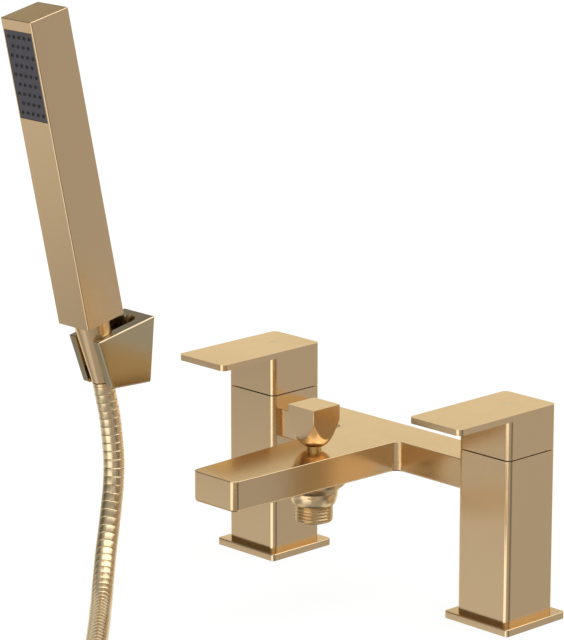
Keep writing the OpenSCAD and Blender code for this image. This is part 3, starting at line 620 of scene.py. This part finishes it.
def make_hose():
    lengths, radii = hose_profile()
    centres = hose_at(lengths)
    along = hose_at(np.minimum(lengths + 0.4, hose_length)) - hose_at(np.maximum(lengths - 0.4, 0))
    along /= np.linalg.norm(along, axis=1)[:, None]
    normals, others = carried_normals(along)
    cover = rings(centres, normals, others, radii)
    # each end runs in to a ring of the bore's size, which is closed flat
    ends = [0, -1]
    bore = rings(centres[ends], normals[ends], others[ends], np.full(2, HOSE_BORE_R))
    verts = np.concatenate([cover, bore]).reshape(-1, 3) * MM
    faces = []
    for start in range(0, (len(lengths) - 1) * HOSE_SIDES, HOSE_SIDES):
        for k in range(HOSE_SIDES):
            a, b = start + k, start + (k + 1) % HOSE_SIDES
            faces.append((a, b, b + HOSE_SIDES, a + HOSE_SIDES))
    first = len(lengths) * HOSE_SIDES
    second = first + HOSE_SIDES
    last = first - HOSE_SIDES
    for k in range(HOSE_SIDES):
        m = (k + 1) % HOSE_SIDES
        faces.append((k, first + k, first + m, m))
        faces.append((last + k, last + m, second + m, second + k))
    faces.append(tuple(first + k for k in range(HOSE_SIDES)))
    faces.append(tuple(second + k for k in range(HOSE_SIDES))[::-1])
    mesh = bpy.data.meshes.new("hose")
    mesh.from_pydata([tuple(v) for v in verts], [], faces)
    return smooth(placed("hose", mesh), weighted=False, angle=50)


# End nut
END = moved(*tail_at) @ Matrix.Rotation(math.radians(COIL_START), 4, "Z") @ turned(-90)


def make_end_nut():
    at = END @ moved(0, 0, NUT_BACK)
    corners = [tuple(around(60 * k).xy * NUT_CORNER) for k in range(6)]
    nut = prism("end_nut", corners, 0, NUT_L, at)
    flat = NUT_ACROSS / 2 + 0.1
    full = NUT_CORNER + 0.05
    dome = [(0, 0), (flat, 0), (full, 1.1), (full, NUT_L - 1.1), (flat, NUT_L), (0, NUT_L)]
    combine(nut, lathe("dome", dome, at), "INTERSECT")
    bore = [(0, -1), (FERRULE_R, -1), (FERRULE_R, 3.2), (11, 3.2), (11, 7.4), (10.5, 7.4), (10.5, 14.4),
            (11.1, 15.1), (0, 16)]
    combine(nut, lathe("bore", bore, at, 64))
    bevel(nut, 0.2, 2, angle=28)
    return smooth(nut)


end_nut = stand_for(make_end_nut(), "end_nut", "brushed_brass", "hose_end_nut")

hose = make_hose()
dress(hose, "hose_cover")
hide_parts("hose_tube", "hose_coil")
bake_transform(hose)

# Light, floor and background
VIEW_SIDE = Vector((0.7197, -0.6943, 0))
VIEW_RIGHT = Vector((0.6943, 0.7197, 0))


class Studio:
    """The light around the object. A turn of 0 is the camera's side and 90 its right, in degrees."""

    def __init__(self, n):
        self.n = n
        self.way = n.add("ShaderNodeTexCoord").outputs["Generated"]
        self.height = n.add("ShaderNodeSeparateXYZ", {0: self.way}).outputs[2]
        level = n.add("ShaderNodeVectorMath", {0: self.way, 1: (1, 1, 0)}, operation="MULTIPLY").outputs[0]
        self.level_way = n.add("ShaderNodeVectorMath", {0: level}, operation="NORMALIZE").outputs[0]

    def lobe(self, turn, rise, inner, outer, strength, source=None):
        """Light around one direction, in full inside one angle and gone outside another."""
        a = math.radians(turn)
        e = math.radians(rise)
        level = VIEW_SIDE * math.cos(a) + VIEW_RIGHT * math.sin(a)
        toward = level * math.cos(e) + Vector((0, 0, math.sin(e)))
        near = self.n.add("ShaderNodeVectorMath", {0: source or self.way, 1: tuple(toward)},
                          operation="DOT_PRODUCT").outputs["Value"]
        return self.n.ramp(near, math.cos(math.radians(outer)), math.cos(math.radians(inner)), 0.0, strength)

    def window(self, low, low_full, high_full, high):
        """A share between two heights."""
        sine = [math.sin(math.radians(v)) for v in (low, low_full, high_full, high)]
        rising = self.n.ramp(self.height, sine[0], sine[1])
        falling = self.n.ramp(self.height, sine[2], sine[3], 1.0, 0.0)
        return self.n.math("MULTIPLY", rising, falling)

    def panel(self, turn, inner, outer, heights, strength):
        """A lobe that reaches between two heights only."""
        band = self.lobe(turn, 0, inner, outer, strength, self.level_way)
        return self.n.math("MULTIPLY", band, self.window(*heights))

    def total(self):
        """The light's strength in every direction."""
        lights = [
            ("ADD", self.panel(-92, 30, 46, (-31, -25, -17.6, -13.6), 0.41)),
            ("ADD", self.panel(-40, 13, 31, (-45, -30, -2, 12), 1.35)),
            ("SUBTRACT", self.lobe(-95, 20, 10, 34, 0.22)),
            ("SUBTRACT", self.lobe(62, -12, 6, 24, 0.2)),
            ("ADD", self.panel(92, 18, 36, (-32, -20, -6, 4), 0.19)),
            ("ADD", self.panel(180, 32, 60, (4, 15, 17.6, 22.4), 0.75)),
            ("ADD", self.panel(92, 18, 40, (8, 16, 62, 78), 0.42)),
            ("ADD", self.lobe(93, 54, 20, 36, 1.1)),
            ("SUBTRACT", self.lobe(0, -90, 12, 38, 0.34)),
            ("SUBTRACT", self.lobe(-176, 27, 4, 9, 0.09)),
            ("ADD", self.panel(92, 30, 50, (-66, -54, -40, -32), 0.45)),
            ("ADD", self.panel(-92, 30, 50, (-66, -54, -44, -36), 0.35)),
            ("ADD", self.panel(180, 30, 62, (-42, -26, -8, 0), 0.7)),
            ("ADD", self.panel(4, 16, 34, (-40, -26, -8, 4), 0.15)),
            ("ADD", self.panel(0, 20, 40, (2, 8, 22, 34), 0.36)),
            ("ADD", self.lobe(0, 90, 16, 50, 0.35)),
            ("MAXIMUM", 0.08),
        ]
        level = self.n.ramp(self.height, -0.68, -0.6, 0.45, 0.36)
        for operation, light in lights:
            level = self.n.math(operation, level, light)
        return level


def add_world():
    world = bpy.data.worlds.new("studio")
    bpy.context.scene.world = world
    world.use_nodes = True
    n = Nodes(world.node_tree)
    light = Studio(n).total()
    studio = n.add("ShaderNodeBackground", {"Color": (1, 0.99, 0.97, 1), "Strength": light}).outputs[0]
    white = n.add("ShaderNodeBackground", {"Color": (1, 1, 1, 1), "Strength": 1.0}).outputs[0]
    seen = n.add("ShaderNodeLightPath").outputs["Is Camera Ray"]
    both = n.add("ShaderNodeMixShader", {0: seen, 1: studio, 2: white}).outputs[0]
    n.add("ShaderNodeOutputWorld", {0: both})


FLOOR_R = 8000
FLOOR_TOP = -0.5
FLOOR_BOTTOM = -60
FLOOR_GREY = (0.82, 0.82, 0.82, 1)
FLOOR_GLOW = 1.08
FLOOR_GLOW_SHARE = 0.86


def add_floor():
    """A white floor that takes faint shadows and isn't mirrored in the metal."""
    obj = prism("floor", rounded(2 * FLOOR_R, 2 * FLOOR_R, FLOOR_R - 1, steps=16), FLOOR_BOTTOM, FLOOR_TOP)
    material, n = new_material("floor_white")
    path = n.add("ShaderNodeLightPath")
    matt = n.add("ShaderNodeBsdfDiffuse", {"Color": FLOOR_GREY}).outputs[0]
    glow = n.add("ShaderNodeEmission", {"Color": (1, 1, 1, 1), "Strength": FLOOR_GLOW}).outputs[0]
    clear = n.add("ShaderNodeBsdfTransparent").outputs[0]
    seen = n.add("ShaderNodeMixShader", {0: FLOOR_GLOW_SHARE, 1: matt, 2: glow}).outputs[0]
    plain = n.add("ShaderNodeMixShader", {0: path.outputs["Is Camera Ray"], 1: matt, 2: seen}).outputs[0]
    mirror = n.math("MAXIMUM", path.outputs["Is Glossy Ray"], path.outputs["Is Transmission Ray"])
    both = n.add("ShaderNodeMixShader", {0: mirror, 1: plain, 2: clear}).outputs[0]
    n.add("ShaderNodeOutputMaterial", {0: both})
    obj.data.materials.append(material)


def add_lamp(name, location, target, size, watts):
    data = bpy.data.lights.new(name, "AREA")
    data.shape = "RECTANGLE"
    data.size, data.size_y = size
    data.energy = watts
    obj = bpy.data.objects.new(name, data)
    bpy.context.collection.objects.link(obj)
    obj.location = location
    obj.rotation_mode = "QUATERNION"
    obj.rotation_quaternion = (Vector(target) - Vector(location)).to_track_quat("-Z", "Y")


add_world()
add_floor()
add_lamp("overhead", (0.2, -0.3, 2.6), (0, -0.1, 0.1), (2.0, 2.0), 18)


# Mixer body
def spout_outline():
    cosine = math.cos(math.radians(SPOUT_TURN))
    root_y = -BRIDGE_HALF - CORNER_R
    root_x = SPOUT_TIP_W / 2 + (SPOUT_REACH + root_y) * SPOUT_SLOPE + CORNER_R / cosine
    tip_x = SPOUT_TIP_W / 2 + TIP_R * SPOUT_SLOPE - TIP_R / cosine
    half = [(PILLAR_X, BRIDGE_HALF), (PILLAR_X, -BRIDGE_HALF)]
    half += arc(root_x, root_y, CORNER_R, 90, 180 - SPOUT_TURN)
    half += arc(tip_x, -SPOUT_REACH + TIP_R, TIP_R, -SPOUT_TURN, -90)
    return half + [(-x, y) for x, y in reversed(half)]


def make_pillar(x):
    pillar = prism("pillar", rounded(PILLAR_W, PILLAR_W, PILLAR_R, x, 0, 10), BASE_T, PILLAR_TOP)
    return bevel(pillar, 0.3, 2, chosen=level_edges([(PILLAR_TOP, 1.0)]))


def make_boss():
    """The boss under the spout, which flares out to its underside."""
    flare = [(13.35, 64.9), (13.9, 65.6), (14.7, 66.6), (15.7, 67.6), (16.6, 68.4), (BOSS_FOOT_R, 69.0)]
    profile = [(0, SLAB_Z + 2), (0, BOSS_Z), (BOSS_R, BOSS_Z)] + flare + [(BOSS_FOOT_R, SLAB_Z + 2)]
    return lathe("boss", profile, DIVERTER)


def pillar_bore(x):
    profile = [(0, 3), (12.6, 3), (12.6, BASE_T), (INLET_R, 5), (INLET_R, INLET_TOP), (WATER_R, INLET_TOP),
               (WATER_R, VALVE_Z), (VALVE_R, VALVE_Z), (VALVE_R, 97), (0, 97)]
    return lathe("bore", profile, moved(x, 0, 0))


def diverter_bore():
    profile = column((CHAMBER_R, 60, CHAMBER_TOP), (OUTLET_BORE_R, CHAMBER_TOP, SPRING_Z[1]),
                     (STEM_R + 0.05, SPRING_Z[1], SLAB_TOP + 2))
    return lathe("bore", profile, DIVERTER, 64)


def aerator_bore():
    profile = [(0, SLAB_Z - 1), (AERATOR_R + 0.4, SLAB_Z - 1), (AERATOR_R, SLAB_Z + 0.4)]
    profile += [(AERATOR_R, AERATOR_TOP), (0, AERATOR_TOP)]
    return lathe("bore", profile, moved(0, AERATOR_Y, 0))


def make_casting():
    slab = prism("mixer_casting", spout_outline(), SLAB_Z, SLAB_TOP)
    bevel(slab, 1.5, 4, chosen=level_edges([(SLAB_TOP, 0.3), (SLAB_Z, 1.0)]))
    combine(slab, [make_pillar(-PILLAR_X), make_pillar(PILLAR_X), make_boss()], "UNION")
    combine(slab, [pillar_bore(-PILLAR_X), pillar_bore(PILLAR_X), diverter_bore(), aerator_bore()])
    return smooth(slab)


stand_for(make_casting(), "mixer", "brushed_brass", "left_pillar", "right_pillar", "bridge", "spout")


# Base plates and levers
def make_base_plate(name, x):
    plate = prism(name, rounded(BASE_W, BASE_W, BASE_R, x, 0, 8), 0, BASE_T)
    bevel(plate, 0.6, 3, chosen=level_edges([(BASE_T, 1.0), (0, 0.3)]))
    combine(plate, lathe("hole", column((19.7, -1, 1.2), (14, 1.2, BASE_T + 1)), moved(x, 0, 0)))
    return smooth(plate)


def make_lever(name, x):
    """A square cap with a plate on top that reaches forward, hollow round its hub."""
    at = moved(x, 0, 0)
    plate_z = LEVER_TOP - LEVER_T
    block = prism(name, rounded(PILLAR_W, PILLAR_W, PILLAR_R, x, 0, 10), LEVER_Z, LEVER_TOP - LEVER_T / 2)
    outline = rounded(PILLAR_W, LEVER_L, PILLAR_R, x, (PILLAR_W - LEVER_L) / 2, 10)
    combine(block, prism("plate", outline, plate_z, LEVER_TOP), "UNION")
    bevel(block, 0.5, 3, chosen=level_edges([(LEVER_TOP, 1.0), (LEVER_Z, 0.5), (plate_z, 0.5)]))
    combine(block, box("hollow", (x - HOLLOW_HALF, -HOLLOW_HALF, LEVER_Z - 1),
                       (x + HOLLOW_HALF, HOLLOW_HALF, HOLLOW_TOP)))
    combine(block, lathe("hub", column((HUB_R, 102.5, 113)), at, 64), "UNION")
    screw_hole = [(0, 0), (2.8, 0), (2.8, 1.5), (2.5, 1.8), (2.5, 16), (0, 16)]
    combine(block, [lathe("bore", column((SPINDLE_R, 101, HOLLOW_TOP)), at, 48),
                    lathe("bore", screw_hole, moved(x, 20, SCREW_Z) @ turned(90), 48),
                    lathe("dot", column((DOT_R + 0.04, DOT_FLOOR, LEVER_TOP + 1.3)), at, 48)])
    return smooth(block)


def make_dot(name, x):
    top = LEVER_TOP - 0.02
    profile = [(0, DOT_FLOOR), (DOT_R, DOT_FLOOR), (DOT_R, top - 0.08), (DOT_R - 0.08, top), (0, top)]
    return smooth(lathe(name, profile, moved(x, 0, 0), 48))


for side, x in (("left", -PILLAR_X), ("right", PILLAR_X)):
    stand_for(make_base_plate(side + "_base", x), "mixer", "brushed_brass_y", side + "_base_plate")
    stand_for(make_lever(side + "_lever", x), side + "_lever", "brushed_brass", side + "_lever_handle")
    stand_for(make_dot(side + "_dot", x), side + "_lever", "bracket_brass", side + "_lever_index",
              slot="deep_brass")


# Diverter and shower outlet
def make_knob():
    """A square knob cut back by a cone that ends in a rounded foot."""
    knob = prism("knob", rounded(KNOB_W, KNOB_W, 0.6, 0, DIVERTER_Y, 3), KNOB_Z, KNOB_TOP)
    foot = [(0, KNOB_Z), (6, KNOB_Z), (7.3, 91.5), (8.5, 92.8), (9.4, 94.1), (10.5, 96.3), (11.6, 98.9)]
    cone = foot + [(13.14, 103), (17.76, KNOB_TOP + 1), (0, KNOB_TOP + 1)]
    combine(knob, lathe("cone", cone, DIVERTER, 160), "INTERSECT")
    bevel(knob, 0.28, 2, angle=30)
    combine(knob, lathe("bore", column((STEM_R, 89, 102.5)), DIVERTER, 48))
    return smooth(knob, angle=24)


stand_for(make_knob(), "diverter", "brushed_brass", "diverter_knob")


def make_spring():
    """A wire wound round the stem."""
    steps = 48
    sides = 10
    bottom = SPRING_Z[0] + 0.6
    top = SPRING_Z[1] - 0.6
    count = SPRING_TURNS * steps
    verts = []
    for i in range(count + 1):
        outward = around(360 * i / steps)
        centre = outward * SPRING_R + Vector((0, DIVERTER_Y, bottom + (top - bottom) * i / count))
        for x, z in arc(0, 0, SPRING_WIRE, 0, 360, sides)[:-1]:
            verts.append(centre + outward * x + Vector((0, 0, z)))
    faces = []
    for start in range(0, count * sides, sides):
        for k in range(sides):
            a, b = start + k, start + (k + 1) % sides
            faces.append((a, b, b + sides, a + sides))
    faces += [tuple(range(sides)), tuple(count * sides + k for k in range(sides))]
    return smooth(piece("spring", verts, faces), weighted=False, angle=50)


def outlet_thread(steps=40, length=8.7, root=48.9):
    """The thread's rounded grooves, from the top down."""
    points = []
    for k in range(steps + 1):
        z = OUTLET_THREAD_TOP - k * length / steps
        groove = 0.5 + 0.5 * math.cos(2 * math.pi * (z - root) / OUTLET_PITCH)
        points.append((OUTLET_THREAD_R - OUTLET_THREAD_DEPTH * groove ** 1.15, z))
    return points


def make_outlet():
    shank_r = CHAMBER_R - 0.05
    collar = [(OUTLET_BORE_R, 69.0), (shank_r, 69.0), (shank_r, BOSS_Z), (BOSS_R, BOSS_Z), (13.2, 64.5),
              (12.9, 61.9), (12.5, 59.8), (12.1, 58.5), (11.6, 57.6), (11.2, 57.2), (10.5, 57.1)]
    mouth = [(10.2, OUTLET_Z + 0.4), (9.9, OUTLET_Z + 0.1), (9.7, OUTLET_Z),
             (OUTLET_BORE_R + 0.3, OUTLET_Z), (OUTLET_BORE_R, OUTLET_Z + 0.3)]
    outlet = lathe("outlet", collar + outlet_thread() + mouth, DIVERTER)
    return smooth(outlet, weighted=False, angle=50)


stand_for(make_outlet(), "mixer", "deep_brass", "shower_outlet")

# the real spring is pressed together when the diverter lifts; here it stays one fixed piece
spring = make_spring()
dress(spring, "steel")
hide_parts("diverter_spring")
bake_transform(spring)


# Bracket
def bracket_cutters():
    """The tapered socket with its front slot, and the narrow slot behind it."""
    narrow = HANDSET_SEAT - (CONE_TOP_R - CONE_END_R) / CONE_TAPER
    cone = [(0, -60), (6.4, -60), (6.4, narrow), (12.12, 20), (0, 20)]
    cone = lathe("cone", cone, SOCKET, 128)
    slot = box("slot", (-7.75, -40, -60), (7.75, 0, 30), SOCKET)
    rear = arc(0, -11.8, 6.2, 0, 180, 20) + [(-6.2, -33), (6.2, -33)]
    return combine(cone, [slot, prism("rear", rear, -4, 30, BRACKET)], "UNION")


def make_bracket():
    top = BRACKET_H / 2
    front_top = top - BRACKET_D * BRACKET_SLOPE
    side = [(0, top), (0, -top), (-28.1, -20.2), (-BRACKET_D, front_top)]
    # the profile's plane is Y and Z, and the prism runs along X
    swing = BRACKET @ Matrix(((0, 0, 1, 0), (1, 0, 0, 0), (0, 1, 0, 0), (0, 0, 0, 1)))
    body = prism("bracket", side, -BRACKET_W / 2, BRACKET_W / 2, swing)
    bevel(body, 1.1, 5, angle=30)
    combine(body, bracket_cutters())
    bevel(body, 0.35, 3, angle=40)
    back = box("pocket", (-9.5, -4, -15), (9.5, 1, 15), BRACKET)
    tunnel = lathe("hole", column((1.25, -25, -2)), BRACKET @ moved(0, -1.9, 0), 32)
    liner = lathe("room", column((8.8, -27, -21)), SOCKET)
    combine(body, [back, tunnel, liner])
    return smooth(body)


# the bracket wears the brass darkened with painted shade
stand_for(make_bracket(), "mixer", "bracket_brass", "bracket_body")


# Handset
def make_bar():
    bar = prism("handset", rounded(BAR_W, BAR_D, BAR_R, steps=4), 0, BAR_L, HANDSET)
    bevel(bar, 0.45, 3, angle=40)
    recess_x = SPRAY_W / 2 + SPRAY_GAP
    recess_z = SPRAY_L / 2 + SPRAY_GAP
    hollow_x = BAR_W / 2 - BAR_WALL
    recess = box("recess", (-recess_x, -BAR_D / 2 - 1, SPRAY_Z - recess_z),
                 (recess_x, -SPRAY_BACK, SPRAY_Z + recess_z), HANDSET)
    hollow = box("hollow", (-hollow_x, -SPRAY_BACK - 0.2, BAR_END_WALL),
                 (hollow_x, BAR_D / 2 - BAR_WALL, BAR_L - BAR_END_WALL), HANDSET)
    combine(bar, [recess, hollow, lathe("hole", column((6, -1, 4)), HANDSET, 64)])
    return smooth(bar)


def make_spray():
    outline = rounded(SPRAY_W, SPRAY_L, 0.5, 0, SPRAY_Z, 3)
    plate = prism("spray_face", outline, SPRAY_BACK, SPRAY_FRONT, HANDSET_FACE)
    return smooth(bevel(plate, 0.25, 2, angle=40))


NOZZLE = [(0, 12.9), (1.05, 12.9), (1.0, 13.35), (0.72, 13.78), (0.5, 13.86), (0.32, 13.8), (0.26, 13.5),
          (0, 13.45)]
NOZZLE_ROWS = 9
NOZZLE_SPACING = 4.2
NOZZLE_ROW_SPACING = 5.4


def make_nozzles():
    """Rows of five and four nozzles by turns."""
    parts = []
    for row in range(NOZZLE_ROWS):
        count = 5 if row % 2 == 0 else 4
        height = SPRAY_Z + ((NOZZLE_ROWS - 1) // 2 - row) * NOZZLE_ROW_SPACING
        for k in range(count):
            at = HANDSET_FACE @ moved((k - (count - 1) / 2) * NOZZLE_SPACING, height, 0)
            parts.append(lathe("nozzle", NOZZLE, at, 16))
    return smooth(joined("nozzles", parts), weighted=False)


def make_cone_nut():
    cone = [(10.15, 0), (10.42, -0.12), (CONE_TOP_R, -0.4), (CONE_TOP_R - CONE_TAPER * 18, -18), (6.3, -35)]
    end = [(6.12, -36.4), (CONE_END_R, -36.6), (5.9, -36.9), (5.6, -CONE_L)]
    inside = [(FERRULE_R, -CONE_L), (FERRULE_R, -11.95), (8.38, -11.95)]
    return smooth(lathe("cone_nut", [(8.38, 0)] + cone + end + inside, HANDSET))


stand_for(make_bar(), "handset", "brushed_brass", "handset_body")
stand_for(make_spray(), "handset", "spray_grey", "spray_plate")
stand_for(make_nozzles(), "handset", "rubber", "spray_nozzles")
stand_for(make_cone_nut(), "handset", "brushed_brass", "hose_cone_nut")

# Materials of the solids that stay
for name, obj in frame["nodes"].items():
    obj.data.materials.clear()
    obj.data.materials.append(MATERIALS[SLOTS[name]])

bpy.context.scene.view_settings.view_transform = "Standard"
